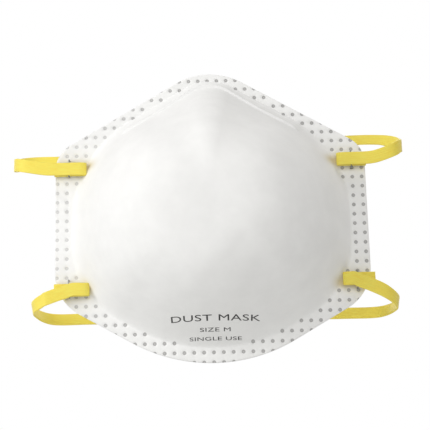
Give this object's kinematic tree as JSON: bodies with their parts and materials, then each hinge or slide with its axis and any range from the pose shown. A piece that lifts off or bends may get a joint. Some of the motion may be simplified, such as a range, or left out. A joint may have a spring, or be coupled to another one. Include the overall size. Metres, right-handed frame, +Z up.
{
  "type": "disposable dust mask",
  "caption": "White cup-shaped disposable dust mask with a welded flat rim, covered nose clip, nose foam and two stapled elastic head straps.",
  "frame": {"origin": "middle of the rim's back plane, where the mask meets the wearer's face", "axes": "+X to the viewer's right as the mask is looked at from the front, -Y out through the dome, +Z up towards the nose"},
  "size_m": [0.168, 0.0672, 0.1232],
  "materials": {
    "cover_felt": "matte",
    "filter_web": "matte",
    "shell_felt": "matte",
    "lining_web": "matte",
    "clip_aluminium": "satin",
    "nose_foam": "matte",
    "strap_elastic": "satin",
    "staple_steel": "satin"
  },
  "bodies": {
    "root": {"outer_cover": "cover_felt", "filter_layer": "filter_web", "support_shell": "shell_felt", "inner_lining": "lining_web", "nose_clip": "clip_aluminium", "nose_foam": "nose_foam", "upper_strap_end_left": "strap_elastic", "upper_strap_end_right": "strap_elastic", "lower_strap_end_left": "strap_elastic", "lower_strap_end_right": "strap_elastic", "upper_staple_left": "staple_steel", "upper_staple_right": "staple_steel", "lower_staple_left": "staple_steel", "lower_staple_right": "staple_steel"},
    "upper_strap": {"upper_strap_loop": "strap_elastic"},
    "lower_strap": {"lower_strap_loop": "strap_elastic"}
  },
  "joints": [
    {"name": "upper_strap_swing", "type": "hinge", "parent": "root", "child": "upper_strap", "pos_m": [0, -0.006, 0.0226], "axis": [1, 0, 0], "range_deg": [-45, 45], "stiffness_Nm_per_rad": 0.02},
    {"name": "lower_strap_swing", "type": "hinge", "parent": "root", "child": "lower_strap", "pos_m": [0, -0.006, -0.0328], "axis": [1, 0, 0], "range_deg": [-45, 45], "stiffness_Nm_per_rad": 0.02}
  ]
}
